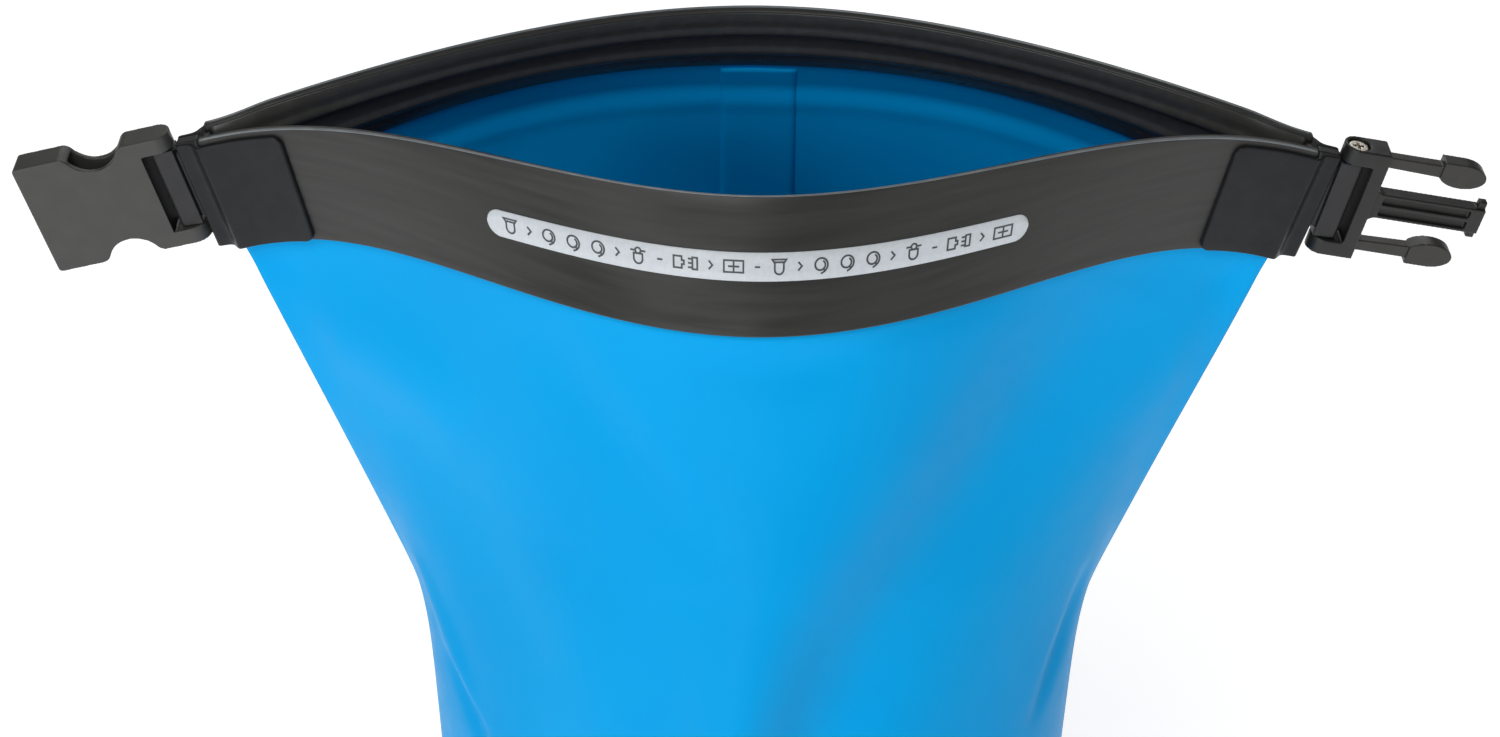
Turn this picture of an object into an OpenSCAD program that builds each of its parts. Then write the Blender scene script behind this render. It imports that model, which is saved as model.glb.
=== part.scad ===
// Roll-top dry bag: a round-bottomed tube of coated sheet whose mouth is held
// between two stiff bands with sealing ribs, with a side-release buckle half
// pinned to each end of the bands. The mouth stands open.
// Origin: centre of the base's underside. +Z up, +X towards the plug, -Y front.

/* [Bag] */
// Diameter of the round base and body
bag_d = 206; // [196:2:220]
// Height of the bag at the middle of its open mouth
bag_h = 520; // [460:5:600]
// Thickness of the coated sheet
sheet_t = 0.8; // [0.6:0.1:1]
// Height below the mouth at which the round body starts to flatten
shoulder_h = 193; // [185:1:210]
// Height of the weld flange round the base
flange_h = 14; // [8:1:20]
// Width of the lap seam up the back
seam_w = 24; // [16:1:30]

/* [Mouth] */
// Height of the closure bands
band_h = 36; // [35:0.5:40]
// Thickness of each closure band
band_t = 1.6; // [1.2:0.1:2]
// How far the front band's top edge bows out
front_bow = 47; // [40:1:52]
// How far the rear band's top edge bows out
rear_bow = 43; // [38:1:52]
// How much further the front band's bottom edge bows out
front_spread = 20; // [6:1:22]
// How much further the rear band's bottom edge bows out
rear_spread = 14; // [6:1:18]
// How far the band ends droop below the middle
end_drop = 13.5; // [10:0.5:16]
// Thickness of the seal strips between their ribs
seal_t = 1; // [0.8:0.1:1.4]
// Height of a sealing rib above its strip
rib_t = 1; // [0.6:0.1:1.2]
// Height of the ribbed seal strips
seal_h = 24; // [20:1:30]

/* [Ends] */
// Length of the end tabs along the bands
tab_len = 25.5; // [20:0.5:30]
// Thickness of the end tabs
tab_t = 1.5; // [1.2:0.1:2]
// Distance of the buckle pins beyond the band ends
pin_out = 13; // [12.8:0.1:14]
// Radius of the buckle pins
pin_r = 1.5; // [1.3:0.1:1.7]
// Height of the buckle's middle above the middle of the band ends
pin_lift = 3; // [0:0.5:3]
// Turn of the socket about its pin, towards the front
socket_yaw = 3; // [0:1:30]
// Turn of the plug about its pin, towards the front
plug_yaw = 0; // [0:1:30]
// Upward tilt of the plug and its pin against the band's end
plug_rise = 3; // [0:1:3]

/* [Buckle] */
// Height of both buckle halves
buckle_h = 35; // [34.5:0.5:36]
// Thickness of the socket
socket_t = 8.6; // [8.4:0.2:10]
// Thickness of the plug's frame
plug_t = 8.4; // [8:0.2:9]
// Length of the plug's prongs
prong_len = 28.8; // [28:0.2:29.4]

/* [Label] */
// Length of the printed label
label_len = 152; // [100:1:160]
// Height of the printed label
label_h = 7.4; // [6:0.2:12]

/* [Hidden] */
$fn = 64;
FRONT = -1;
REAR = 1;
LEFT = -1;
RIGHT = 1;
blue = [0.02, 0.56, 0.86];
grey = [0.27, 0.27, 0.27];
black = [0.13, 0.13, 0.13];

bag_r = bag_d / 2;
half_arc = PI * bag_r / 2;
crease = 0.4;                          // how far the shoulder keeps to its side creases
fold_start = 0.3;                      // share of the shoulder below the fold zone
seam_base = 2;                         // height of the seam tape's lower end
front_arch = 0;                        // 0 bends like a clamped strip, 1 like an arch
rear_arch = 0.4;
rear_low_arch = 1.1;                   // the same for the rear band's bottom edge
droop = 3.4;                           // how sharply the band ends droop
pinch = 0.12;                          // share of the half band held flat at its end
weld_gap = 0.1;                        // clearance between welded layers
seal_gap = 0.25;                       // the same behind the seal strips
mouth_gap = 0.3;                       // half the gap between the seal strips at the ends
half_gap = mouth_gap + seal_t + rib_t + seal_gap; // from the middle plane to the sheet's inner face
stations = 24;                         // stations along half a band
rows = 3;                              // rows of facets down a band
levels = 10;                           // rings of points up the shoulder

// Layers of the closure, as distances out from the sheet's inner face
band_in = sheet_t + weld_gap;
band_out = band_in + band_t;
tab_in = band_out + weld_gap;
tab_out = tab_in + tab_t;
label_in = band_out + 2 * weld_gap;
label_t = 0.25;

// ---- shape of the open mouth ----

function ease(t) = t * t * (3 - 2 * t);
function arch(t) = sin(90 * t) * ease(min(t / pinch, 1));
function bow(t, share) = (1 - share) * ease(t) + share * arch(t);

// Half span of a strip of fixed length that bows out by b
function half_span(b) = (half_arc + sqrt(half_arc * half_arc - 2.44 * b * b)) / 2;

function top_bow(face) = face == FRONT ? front_bow : rear_bow;
function low_bow(face) = face == FRONT ? front_bow + front_spread : rear_bow + rear_spread;
function top_arch(face) = face == FRONT ? front_arch : rear_arch;
function low_arch(face) = face == FRONT ? front_arch : rear_low_arch;
function depth(face, k, b, share) = face * (half_gap + b * bow(1 - abs(k), share));

top_span = half_span((top_bow(FRONT) + top_bow(REAR)) / 2);
low_span = half_span((low_bow(FRONT) + low_bow(REAR)) / 2);
lean = asin((top_span - low_span) / band_h);

// Top and bottom edges of a band; k runs from -1 at the left end to 1 at the right
function top_point(face, k) =
    [k * top_span, depth(face, k, top_bow(face), top_arch(face)), bag_h - end_drop * pow(abs(k), droop)];
function low_point(face, k) =
    let(top = top_point(face, k), x = k * low_span, y = depth(face, k, low_bow(face), low_arch(face)))
    [x, y, top.z - sqrt(band_h * band_h - pow(x - top.x, 2) - pow(y - top.y, 2))];
function middle(face, k) = (top_point(face, k) + low_point(face, k)) / 2;
function outward(face, k) =
    let(step = 0.01, along = middle(face, min(k + step, 1)) - middle(face, max(k - step, -1)),
        n = face * cross(along, low_point(face, k) - top_point(face, k)))
    n / norm(n);

// Point on a closure layer: v runs down the band, d is the distance out
function layer_point(face, k, v, d) =
    let(top = top_point(face, k))
    top + (low_point(face, k) - top) * v + outward(face, k) * d;

function span_list(k0, k1, n) = [for (i = [0:n]) k0 + (k1 - k0) * i / n];
function reversed(list) = [for (i = [len(list) - 1:-1:0]) list[i]];

// ---- solids skinned over rings of points ----

// Closed rings of equal length, skinned and capped at both ends
module skinned(rings) {
    n = len(rings);
    m = len(rings[0]);
    polyhedron(
        points = [for (ring = rings) each ring],
        faces = [
            [for (i = [0:m - 1]) i],
            [for (i = [m - 1:-1:0]) (n - 1) * m + i],
            for (j = [0:n - 2], i = [0:m - 1])
                each let(a = j * m + i, b = j * m + (i + 1) % m)
                [[a, a + m, b], [b, a + m, b + m]]
        ]);
}

// Wall between outer and inner rings, open at both ends
module shell(outer, inner) {
    m = len(outer[0]);
    skins = len(outer) * m;
    last = skins - m;
    polyhedron(
        points = [for (ring = outer) each ring, for (ring = inner) each ring],
        faces = [
            for (j = [0:len(outer) - 2], i = [0:m - 1])
                each let(a = j * m + i, b = j * m + (i + 1) % m)
                [[a, a + m, b], [b, a + m, b + m],
                 [skins + a, skins + b, skins + a + m], [skins + b, skins + b + m, skins + a + m]],
            for (i = [0:m - 1])
                each let(b = (i + 1) % m)
                [[i, b, skins + i], [b, skins + b, skins + i],
                 [last + i, last + skins + i, last + b], [last + b, last + skins + i, last + skins + b]]
        ]);
}

// Layer of the closure along one band; profile is a list of [v, d] points
module layer(face, k0, k1, n, profile) {
    ordered = face == REAR ? profile : reversed(profile);
    skinned([for (k = span_list(k0, k1, n)) [for (p = ordered) layer_point(face, k, p[0], p[1])]]);
}

// ---- coated sheet ----

// One ring round the sheet where the bands hold it, at v down the band
function collar_ring(v, inner) =
    let(d = inner ? 0 : sheet_t, x_out = inner ? 0 : sheet_t, y = inner ? half_gap - sheet_t : half_gap,
        e = layer_point(FRONT, 1, v, 0))
    [for (k = span_list(-1, 1, 2 * stations)) layer_point(FRONT, k, v, d),
     [e.x + x_out, -y, e.z], [e.x + x_out, y, e.z],
     for (k = span_list(1, -1, 2 * stations)) layer_point(REAR, k, v, d),
     [-e.x - x_out, y, e.z], [-e.x - x_out, -y, e.z]];

// The matching ring round the body, where the section is a circle
end_turn = 0.8;
function round_point(angle, r) = [r * sin(angle), -r * cos(angle), bag_h - shoulder_h];
function body_ring(inner) =
    let(r = bag_r - (inner ? sheet_t : 0), turn = 90 - 2 * end_turn)
    [for (k = span_list(-1, 1, 2 * stations)) round_point(k * turn, r),
     round_point(90 - end_turn, r), round_point(90 + end_turn, r),
     for (k = span_list(1, -1, 2 * stations)) round_point(180 - k * turn, r),
     round_point(-90 - end_turn, r), round_point(-90 + end_turn, r)];

// Share of the way to the middle of its face, for each point of a ring
ring_middle = [for (k = span_list(-1, 1, 2 * stations)) 1 - abs(k), 0, 0,
    for (k = span_list(1, -1, 2 * stations)) 1 - abs(k), 0, 0];

// A ring of the shoulder; q runs from 0 at the round body to 1 at the bands.
// Its middle line curves, its side line is straight, and between them it keeps to the side crease.
function shoulder_ring(q, inner) =
    let(low = body_ring(inner), high = collar_ring(1, inner))
    [for (i = [0:len(low) - 1])
        let(m = ring_middle[i], g = pow(q, 1 - crease * 4 * m * (1 - m)) + (ease(q) - q) * 0.7 * m,
            p = low[i] + (high[i] - low[i]) * g)
        [p.x, p.y, low[i].z + (high[i].z - low[i].z) * q]];
function flat_ring(inner, z) = [for (p = body_ring(inner)) [p.x, p.y, z]];

wall_foot = 1.2;                       // height of the wall's foot, above the base's bend
wall_levels = span_list(0, fold_start, 3);
fold_levels = span_list(fold_start, 1, levels);

module bag_wall() {
    color(blue)
        shell(
            [flat_ring(false, wall_foot), for (q = wall_levels) shoulder_ring(q, false)],
            [flat_ring(true, wall_foot), for (q = wall_levels) shoulder_ring(q, true)]);
}

module fold_sheet() {
    color(blue)
        shell(
            [for (q = fold_levels) shoulder_ring(q, false)],
            [for (q = fold_levels) shoulder_ring(q, true)]);
}

module collar_sheet() {
    down = span_list(1, 0, rows);
    color(blue)
        shell([for (v = down) collar_ring(v, false)], [for (v = down) collar_ring(v, true)]);
}

// Lap seam tape inside the back, from the base to the foot of the rear seal strip
module back_seam_tape() {
    across = round(stations * seam_w / 2 / half_arc);
    first = 3 * stations + 2 - across;
    up = [each wall_levels, for (i = [1:levels]) fold_levels[i]];
    foot = [flat_ring(true, seam_base), for (q = up) shoulder_ring(q, true)];
    head = collar_ring((seal_h + 2) / band_h, true);
    color(blue)
        skinned([for (ring = [each foot, head])
            let(outer = [for (i = [first:first + 2 * across]) ring[i] - [0, weld_gap, 0]])
            [each outer, for (p = reversed(outer)) p - [0, sheet_t, 0]]]);
}

// Round base with the flange that is welded over the foot of the body
module base_panel() {
    gap = 0.05;
    round_r = 1.2;
    outer_r = bag_r + gap + sheet_t;
    color(blue)
        rotate_extrude($fn = 128) {
            square([outer_r - round_r, sheet_t]);
            translate([outer_r - sheet_t, round_r]) square([sheet_t, flange_h - round_r]);
            translate([outer_r - round_r, round_r])
                difference() {
                    intersection() {
                        circle(r = round_r);
                        translate([0, -round_r]) square(round_r);
                    }
                    circle(r = round_r - sheet_t);
                }
        }
}

// ---- closure bands, seals and label ----

module band(face) {
    edge = 0.6 / band_h;
    step = band_t / 3;
    color(grey)
        layer(face, -1, 1, 2 * stations, [
            for (v = span_list(edge, 1 - edge, rows)) [v, band_in],
            [1, band_in + step], [1, band_out - step],
            for (v = span_list(1 - edge, edge, rows)) [v, band_out],
            [0, band_out - step], [0, band_in + step]]);
}

// Seal strip with two rounded ribs, on the inner face of the sheet
module seal_strip(face) {
    ribs = [0.3, 0.68];                // rib centres, as shares of the strip's height
    rib_w = 5;
    steps = 6;
    strip_top = 0.5;
    face_d = -seal_gap - seal_t;       // the strip's face between its ribs
    from_top = function (y) (strip_top + y) / band_h;
    color(black)
        layer(face, -1 + 1 / stations, 1 - 1 / stations, 2 * stations - 2, [
            [from_top(0), -seal_gap], [from_top(0), face_d],
            for (rib = ribs, i = [0:steps])
                let(x = i / steps - 0.5)
                [from_top(rib * seal_h + x * rib_w), face_d - rib_t * cos(180 * x)],
            [from_top(seal_h), face_d],
            for (y = span_list(seal_h, seal_h / rows, rows - 1)) [from_top(y), -seal_gap]]);
}

module label() {
    r = label_h / 2;
    half = label_len / 2;
    steps = 6;
    centre = 0.5;                      // the label's middle, as a share of the band's height
    rim = 2;                           // how far each tip stops short, in degrees
    turns = [for (i = [0:steps - 1]) rim + i * (90 - rim) / steps];
    positions = [
        for (a = turns) [-half + r - r * cos(a), sin(a)],
        for (x = span_list(-half + r, half - r, 24)) [x, 1],
        for (a = reversed(turns)) [half - r + r * cos(a), sin(a)]];
    color([0.8, 0.82, 0.84])
        skinned([for (p = positions)
            let(k = p[0] / half_arc, v = p[1] * r / band_h, face_d = label_in + label_t)
            [layer_point(FRONT, k, centre - v, face_d), layer_point(FRONT, k, centre + v, face_d),
             layer_point(FRONT, k, centre + v, label_in), layer_point(FRONT, k, centre - v, label_in)]]);
}

// ---- band ends ----

neck_len = 7.8;                        // how far the tab reaches beyond the band ends
tongue_t = 3;                          // thickness of the knuckle's tongue between the leaves
eye_h = 24.8;                          // height of the knuckle inside the buckle's frame
eye_t = 6;                             // its thickness
window_h = eye_h + 0.6;

end_top = top_point(FRONT, 1);
end_low = low_point(FRONT, 1);
end_z = (end_top.z + end_low.z) / 2;

// Frame at a band end: X outwards, Z up along the end, origin halfway up it
module at_end(side) {
    translate([side * (top_span + low_span) / 2, 0, end_z])
        rotate([0, side * lean, 0])
            rotate([0, 0, side == LEFT ? 180 : 0])
                children();
}

// The same frame, moved to the pin and turned about it
module at_pin(side, yaw) {
    at_end(side)
        translate([pin_out, 0, pin_lift])
            rotate([0, side == RIGHT ? -plug_rise : 0, yaw])
                children();
}

// Point at the right band end, o beyond it and v down it, at depth y
function end_point(o, y, v) =
    let(p = end_top + (end_low - end_top) * v)
    [p.x + o * cos(lean), y, p.z - o * sin(lean)];

// One leaf of the right tab: from its flap on the band to the neck beyond the end
module tab_leaf(face) {
    v0 = 0.04;
    fold = half_gap + tab_in;
    neck_in = tongue_t / 2 + 0.05;
    down = span_list(v0, 1, rows);
    up = reversed(down);
    shared = 3;                        // stations shared with the band under the flap
    flap = [for (k = [1 - tab_len / half_arc, each span_list(1 - shared / stations, 1, shared)])
        [for (v = down) layer_point(face, k, v, tab_out), for (v = up) layer_point(face, k, v, tab_in)]];
    // [distance beyond the band's end, inner depth, outer depth]
    steps = [[0.4, fold, fold + tab_t - 0.1], [1, half_gap + 0.3, fold + tab_t - 0.4],
        [1.6, neck_in, neck_in + tab_t + 2.4], [2.6, neck_in, neck_in + tab_t + 1],
        [3.8, neck_in, neck_in + tab_t + 0.2], [5.4, neck_in, neck_in + tab_t],
        [neck_len, neck_in, neck_in + tab_t - 0.3]];
    neck = [for (o = steps)
        [for (v = down) end_point(o[0], face * o[2], v), for (v = up) end_point(o[0], face * o[1], v)]];
    rings = [each flap, each neck];
    skinned(face == REAR ? [for (ring = rings) reversed(ring)] : rings);
}

module tab(side) {
    color(black)
        mirror([side == LEFT ? 1 : 0, 0, 0])
            for (face = [FRONT, REAR]) tab_leaf(face);
}

// Stiff insert: a tongue welded between the tab's leaves and an eye on the pin
module knuckle(side) {
    corner = 2;
    reach = 3;                         // from the pin to the eye's end
    back = pin_out - neck_len - 1.2;   // from the pin back towards the neck
    tongue_start = 1.6;
    tongue_h = 0.92 * band_h;
    web_h = eye_h - 4;
    color(black)
        difference() {
            union() {
                at_end(side) {
                    translate([tongue_start, -tongue_t / 2, -tongue_h / 2])
                        cube([neck_len - tongue_start, tongue_t, tongue_h]);
                    translate([neck_len - 1, -tongue_t / 2, pin_lift - web_h / 2])
                        cube([pin_out - neck_len, tongue_t, web_h]);
                }
                at_pin(side, 0)
                    linear_extrude(eye_h, center = true) {
                        translate([-back, -eye_t / 2]) square([back + reach - corner, eye_t]);
                        translate([0, corner - eye_t / 2]) square([reach, eye_t - 2 * corner]);
                        for (y = [-1, 1] * (eye_t / 2 - corner))
                            translate([reach - corner, y]) circle(r = corner, $fn = 32);
                    }
            }
            at_pin(side, 0) cylinder(r = pin_r + 0.08, h = 2 * eye_h, center = true);
        }
}

// ---- buckle ----

web = 4.8;                             // from the pin to the frame's cross web
half_h = buckle_h / 2;
head_r = 2.75;
head_h = 1.7;
head_sink = 0.6;                       // how far the screw head lies below the frame
head_seat = half_h - head_sink - head_h;
tip_gap = 1;                           // wall left beyond the screw's tip

// Points on a circular arc
function arc(c, r, a0, a1, n) =
    [for (i = [0:n]) let(a = a0 + (a1 - a0) * i / n) [c[0] + r * cos(a), c[1] + r * sin(a)]];

// Shoulder screw that pins a buckle half; its head is up or down
module pin(side, yaw, up) {
    recess = 3;
    blade = 0.7;
    color([0.75, 0.74, 0.72])
        at_pin(side, yaw)
            rotate([up ? 0 : 180, 0, 0])
                difference() {
                    union() {
                        translate([0, 0, tip_gap - half_h])
                            cylinder(r = pin_r, h = head_seat + half_h - tip_gap);
                        translate([0, 0, head_seat]) cylinder(r = head_r, h = head_h);
                    }
                    for (turn = [0, 90])
                        rotate([0, 0, turn])
                            translate([-recess / 2, -blade / 2, head_seat + head_h - 1])
                                cube([recess, blade, 2]);
                }
}

// Pair of arms that straddle the knuckle, with round ends about the pin
module arms(t) {
    arm_h = (buckle_h - window_h) / 2;
    for (z = [-half_h, half_h - arm_h]) {
        translate([0, 0, z]) cylinder(d = t, h = arm_h);
        translate([0, -t / 2, z]) cube([web, t, arm_h]);
    }
}

// Screw's bore and the counterbore for its head, to be cut from the arms
module pin_bore(up) {
    rotate([up ? 0 : 180, 0, 0]) {
        translate([0, 0, -half_h + tip_gap - 0.1]) cylinder(r = pin_r + 0.04, h = buckle_h);
        translate([0, 0, head_seat - 0.05]) cylinder(r = head_r + 0.35, h = half_h);
    }
}

socket_end = 41;                       // from the pin to the socket's mouth
notch_at = 18.2;                       // from the pin to the middle of the release notches
notch_depth = 5.7;
notch_r = 8;
notch_round = 3;
cavity_len = 33;
cavity_t = 5.4;
cavity_h = 31.8;

// Outline of one long edge of the socket, with its release notch, from the mouth inwards
function notch_edge() =
    let(sum = notch_r + notch_round, rise = sum - notch_depth, dx = sqrt(sum * sum - rise * rise),
        a = atan2(rise, dx))
    [each arc([socket_end - 1, half_h - 1], 1, 0, 90, 4),
     each arc([notch_at + dx, half_h - notch_round], notch_round, 90, 180 - a, 8),
     each arc([notch_at, half_h + notch_r - notch_depth], notch_r, -a, a - 180, 20),
     each arc([notch_at - dx, half_h - notch_round], notch_round, a, 90, 8)];

module socket_body() {
    rail_t = 1.1;
    rail_w = 1.2;
    edge = notch_edge();
    outline = [each edge, [web, half_h], [web, -half_h],
        for (i = [len(edge) - 1:-1:0]) [edge[i][0], -edge[i][1]]];
    color(black)
        at_pin(LEFT, socket_yaw)
            difference() {
                union() {
                    arms(socket_t);
                    difference() {
                        rotate([90, 0, 0]) linear_extrude(socket_t, center = true) polygon(outline);
                        translate([socket_end - cavity_len, -cavity_t / 2, -cavity_h / 2])
                            cube([cavity_len + 1, cavity_t, cavity_h]);
                    }
                    for (z = [-6.2, 5], y = [-cavity_t / 2, cavity_t / 2 - rail_t])
                        translate([socket_end - cavity_len, y, z]) cube([cavity_len - 2, rail_t, rail_w]);
                }
                pin_bore(false);
            }
}

guide_start = 8.9;                     // from the pin to the front of the plug's web
guide_end = 41.5;
guide_h = 7.8;
guide_t = 4.6;

module plug_body() {
    fillet = 3;
    ear = 6;                           // from the middle to an ear's tip
    ear_r = 1.2;
    groove = 1.3;
    color(black)
        at_pin(RIGHT, -plug_yaw)
            difference() {
                union() {
                    arms(plug_t);
                    translate([web, -plug_t / 2, -half_h]) cube([guide_start - web, plug_t, buckle_h]);
                    translate([guide_start, -guide_t / 2, -guide_h / 2])
                        cube([guide_end - guide_start, guide_t, guide_h]);
                    for (z = [-1, 1]) {
                        rotate([90, 0, 0])
                            linear_extrude(guide_t, center = true)
                                difference() {
                                    translate([guide_start, z > 0 ? guide_h / 2 : -guide_h / 2 - fillet])
                                        square(fillet);
                                    translate([guide_start + fillet, z * (guide_h / 2 + fillet)])
                                        circle(r = fillet);
                                }
                        translate([guide_end - 2 * ear_r, -ear_r, z > 0 ? 0 : -ear])
                            cube([2 * ear_r, 2 * ear_r, ear]);
                    }
                }
                pin_bore(true);
                for (y = [-guide_t / 2 - 1, guide_t / 2 - groove], z = [-3, 0.6])
                    translate([guide_start + 3, y, z])
                        cube([guide_end - guide_start - 7, groove + 1, 2.4]);
            }
}

prong_in = 12.4;                       // from the middle to the prong's inner and outer faces
prong_out = 15.7;
prong_gap = 0.3;                       // clearance at the prong's root, where it flexes
prong_bar_t = 3.4;
prong_bulb_t = 4.8;

// A prong with its barbed bulb; side is 1 for the upper one and -1 for the lower
module prong(side) {
    tip = guide_start + prong_len;
    bulb = [6.8, 3.75];
    c = [tip - bulb[0], 13.5];
    catch_u = c[0] - 6.2;
    barb = [catch_u, c[1] + bulb[1]];
    oval = [for (i = [0:28]) let(a = 205 + 245 * i / 28) [c[0] + bulb[0] * cos(a), c[1] + bulb[1] * sin(a)]];
    root = guide_start + prong_gap;
    color(black)
        at_pin(RIGHT, -plug_yaw)
            mirror([0, 0, side > 0 ? 0 : 1])
                rotate([90, 0, 0]) {
                    linear_extrude(prong_bar_t, center = true)
                        polygon([[root, prong_in], each oval, barb, [catch_u, prong_out], [root, prong_out]]);
                    linear_extrude(prong_bulb_t, center = true)
                        polygon([each oval, barb]);
                }
}

bag_wall();
fold_sheet();
collar_sheet();
back_seam_tape();
base_panel();
band(FRONT);  // front_band
band(REAR);  // rear_band
seal_strip(FRONT);  // front_seal_strip
seal_strip(REAR);  // rear_seal_strip
label();
tab(LEFT);  // left_tab
tab(RIGHT);  // right_tab
knuckle(LEFT);  // left_knuckle
knuckle(RIGHT);  // right_knuckle
pin(LEFT, socket_yaw, false);  // left_pin
pin(RIGHT, -plug_yaw, true);  // right_pin
socket_body();
plug_body();
prong(1);  // upper_prong
prong(-1);  // lower_prong
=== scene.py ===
import math

import bmesh
import bpy
import numpy as np
from mathutils import Matrix, Vector

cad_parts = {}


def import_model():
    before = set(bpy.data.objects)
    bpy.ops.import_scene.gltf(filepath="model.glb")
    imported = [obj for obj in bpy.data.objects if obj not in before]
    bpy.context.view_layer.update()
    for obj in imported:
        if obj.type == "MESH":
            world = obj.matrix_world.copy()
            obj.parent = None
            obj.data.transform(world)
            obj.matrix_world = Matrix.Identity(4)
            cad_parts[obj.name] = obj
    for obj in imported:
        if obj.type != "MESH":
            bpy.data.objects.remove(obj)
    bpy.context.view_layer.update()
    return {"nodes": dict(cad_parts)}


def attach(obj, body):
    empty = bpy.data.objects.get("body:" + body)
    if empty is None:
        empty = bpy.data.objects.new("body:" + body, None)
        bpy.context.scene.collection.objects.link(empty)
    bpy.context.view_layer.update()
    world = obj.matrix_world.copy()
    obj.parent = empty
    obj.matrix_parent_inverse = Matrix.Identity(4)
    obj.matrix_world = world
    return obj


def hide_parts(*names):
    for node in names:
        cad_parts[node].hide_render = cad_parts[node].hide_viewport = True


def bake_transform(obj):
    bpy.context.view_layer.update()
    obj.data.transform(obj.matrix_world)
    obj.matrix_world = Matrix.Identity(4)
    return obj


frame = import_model()

# Lengths are in millimetres, as in the part; MM makes them metres when a mesh is made.
MM = 0.001
FRONT, REAR = -1, 1
LEFT, RIGHT = -1, 1

# ---- driving sizes of the part ----
BAG_R = 103                             # outside of the round body
BAG_H = 520                             # up to the middle of the open mouth
SHEET_T = 0.8
SHOULDER_H = 193                        # below the mouth, where the body starts to flatten
FLANGE_H = 14                           # weld flange round the base
BAND_H = 36
BAND_T = 1.6
TOP_BOW = {FRONT: 47, REAR: 43}         # how far the bands' top edges bow out
LOW_BOW = {FRONT: 67, REAR: 57}         # and their bottom edges
TOP_ARCH = {FRONT: 0, REAR: 0.4}        # share of an arch in each edge's curve
LOW_ARCH = {FRONT: 0, REAR: 1.1}
END_DROP = 13.5                         # how far the band ends droop below the middle
DROOP = 3.4                             # power of that droop along the band
PINCH = 0.12                            # share of the half span over which the ends are clamped
CREASE = 0.4                            # how far the body's curve carries on up the side creases
FLANK_START = 0.13                      # share of the shoulder before the flanks start to spread
END_TURN = 0.8                          # half width of a side crease, in degrees round the body
SEAL_T = 1
RIB_T = 1
SEAL_H = 24
SEAL_INSET = 0.012                      # share of the half span without a seal at each end
SEAL_GAP = 0.25
HALF_GAP = 0.3 + SEAL_T + RIB_T + SEAL_GAP    # of the closed ends, to each side of the middle plane
TAB_LEN = 25.5
TAB_T = 1.5
NECK_LEN = 7.8                          # of the tab, beyond the band's end
TONGUE_T = 3                            # of the knuckle between the tab's leaves
LABEL_LEN = 152
LABEL_H = 7.4
LABEL_T = 0.25

WELD_GAP = 0.1
BAND_IN = SHEET_T + WELD_GAP
BAND_OUT = BAND_IN + BAND_T
HALF_ARC = math.pi * BAG_R / 2


# ---- shape of the open mouth, as in the part ----

def ease(t):
    return t * t * (3 - 2 * t)


def half_span(b):
    """Half the width of the mouth when its edge, of fixed length, bows out by b."""
    return (HALF_ARC + math.sqrt(HALF_ARC**2 - 2.44 * b * b)) / 2


TOP_SPAN = half_span((TOP_BOW[FRONT] + TOP_BOW[REAR]) / 2)
LOW_SPAN = half_span((LOW_BOW[FRONT] + LOW_BOW[REAR]) / 2)
LEAN = math.asin((TOP_SPAN - LOW_SPAN) / BAND_H)      # of the bands' ends, outwards


def depth(face, k, b, share):
    """Distance of a band's edge from the middle plane, for a share from a clamped strip's curve to an arch."""
    t = 1 - np.abs(k)
    arch = np.sin(np.pi / 2 * t) * ease(np.minimum(t / PINCH, 1))
    return face * (HALF_GAP + b * ((1 - share) * ease(t) + share * arch))


def top_point(face, k):
    """Point on a band's top edge; k goes from -1 at the left end to 1 at the right end."""
    k = np.asarray(k, float)
    return np.stack([k * TOP_SPAN, depth(face, k, TOP_BOW[face], TOP_ARCH[face]),
                     BAG_H - END_DROP * np.abs(k) ** DROOP], -1)


def low_point(face, k):
    """Point on a band's bottom edge, a band's height away from the top one."""
    k = np.asarray(k, float)
    top = top_point(face, k)
    x = k * LOW_SPAN
    y = depth(face, k, LOW_BOW[face], LOW_ARCH[face])
    drop = np.sqrt(BAND_H**2 - (x - top[..., 0]) ** 2 - (y - top[..., 1]) ** 2)
    return np.stack([x, y, top[..., 2] - drop], -1)


def unit(v):
    return v / np.linalg.norm(v, axis=-1, keepdims=True)


def outward(face, k):
    """Unit normal of the closure, away from the mouth."""
    k = np.asarray(k, float)
    step = 0.01

    def middle(q):
        return (top_point(face, q) + low_point(face, q)) / 2

    along = middle(np.minimum(k + step, 1)) - middle(np.maximum(k - step, -1))
    return unit(face * np.cross(along, low_point(face, k) - top_point(face, k)))


def layer_point(face, k, v, d):
    """Point on a closure layer: v runs down the band and d outwards from the sheet's inner face."""
    top, low = top_point(face, k), low_point(face, k)
    v, d = np.asarray(v, float)[..., None], np.asarray(d, float)[..., None]
    return top + (low - top) * v + outward(face, k) * d


# ---- meshes ----

def mesh_object(name, points, faces, material):
    mesh = bpy.data.meshes.new(name)
    mesh.from_pydata((np.asarray(points, float) * MM).tolist(), [], faces)
    mesh.validate()
    mesh.update()
    obj = bpy.data.objects.new(name, mesh)
    bpy.context.scene.collection.objects.link(obj)
    mesh.materials.append(material)
    mesh.shade_smooth()
    return obj


def grid_faces(rows, cols, first=0, closed=False, flip=False):
    """Quads over rows of points; closed joins each row's end to its start."""
    faces = []
    for j in range(rows - 1):
        for i in range(cols if closed else cols - 1):
            a, b = first + j * cols + i, first + j * cols + (i + 1) % cols
            quad = [a, b, b + cols, a + cols]
            faces.append(quad[::-1] if flip else quad)
    return faces


def skinned(name, rings, material):
    """Closed solid over rings of equal length, capped at both ends."""
    rings = np.asarray(rings, float)
    n, m = rings.shape[:2]
    faces = grid_faces(n, m, closed=True)
    faces.append(list(range(m))[::-1])
    faces.append([(n - 1) * m + i for i in range(m)])
    obj = mesh_object(name, rings.reshape(-1, 3), faces, material)
    outward_normals(obj)
    return obj


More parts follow.
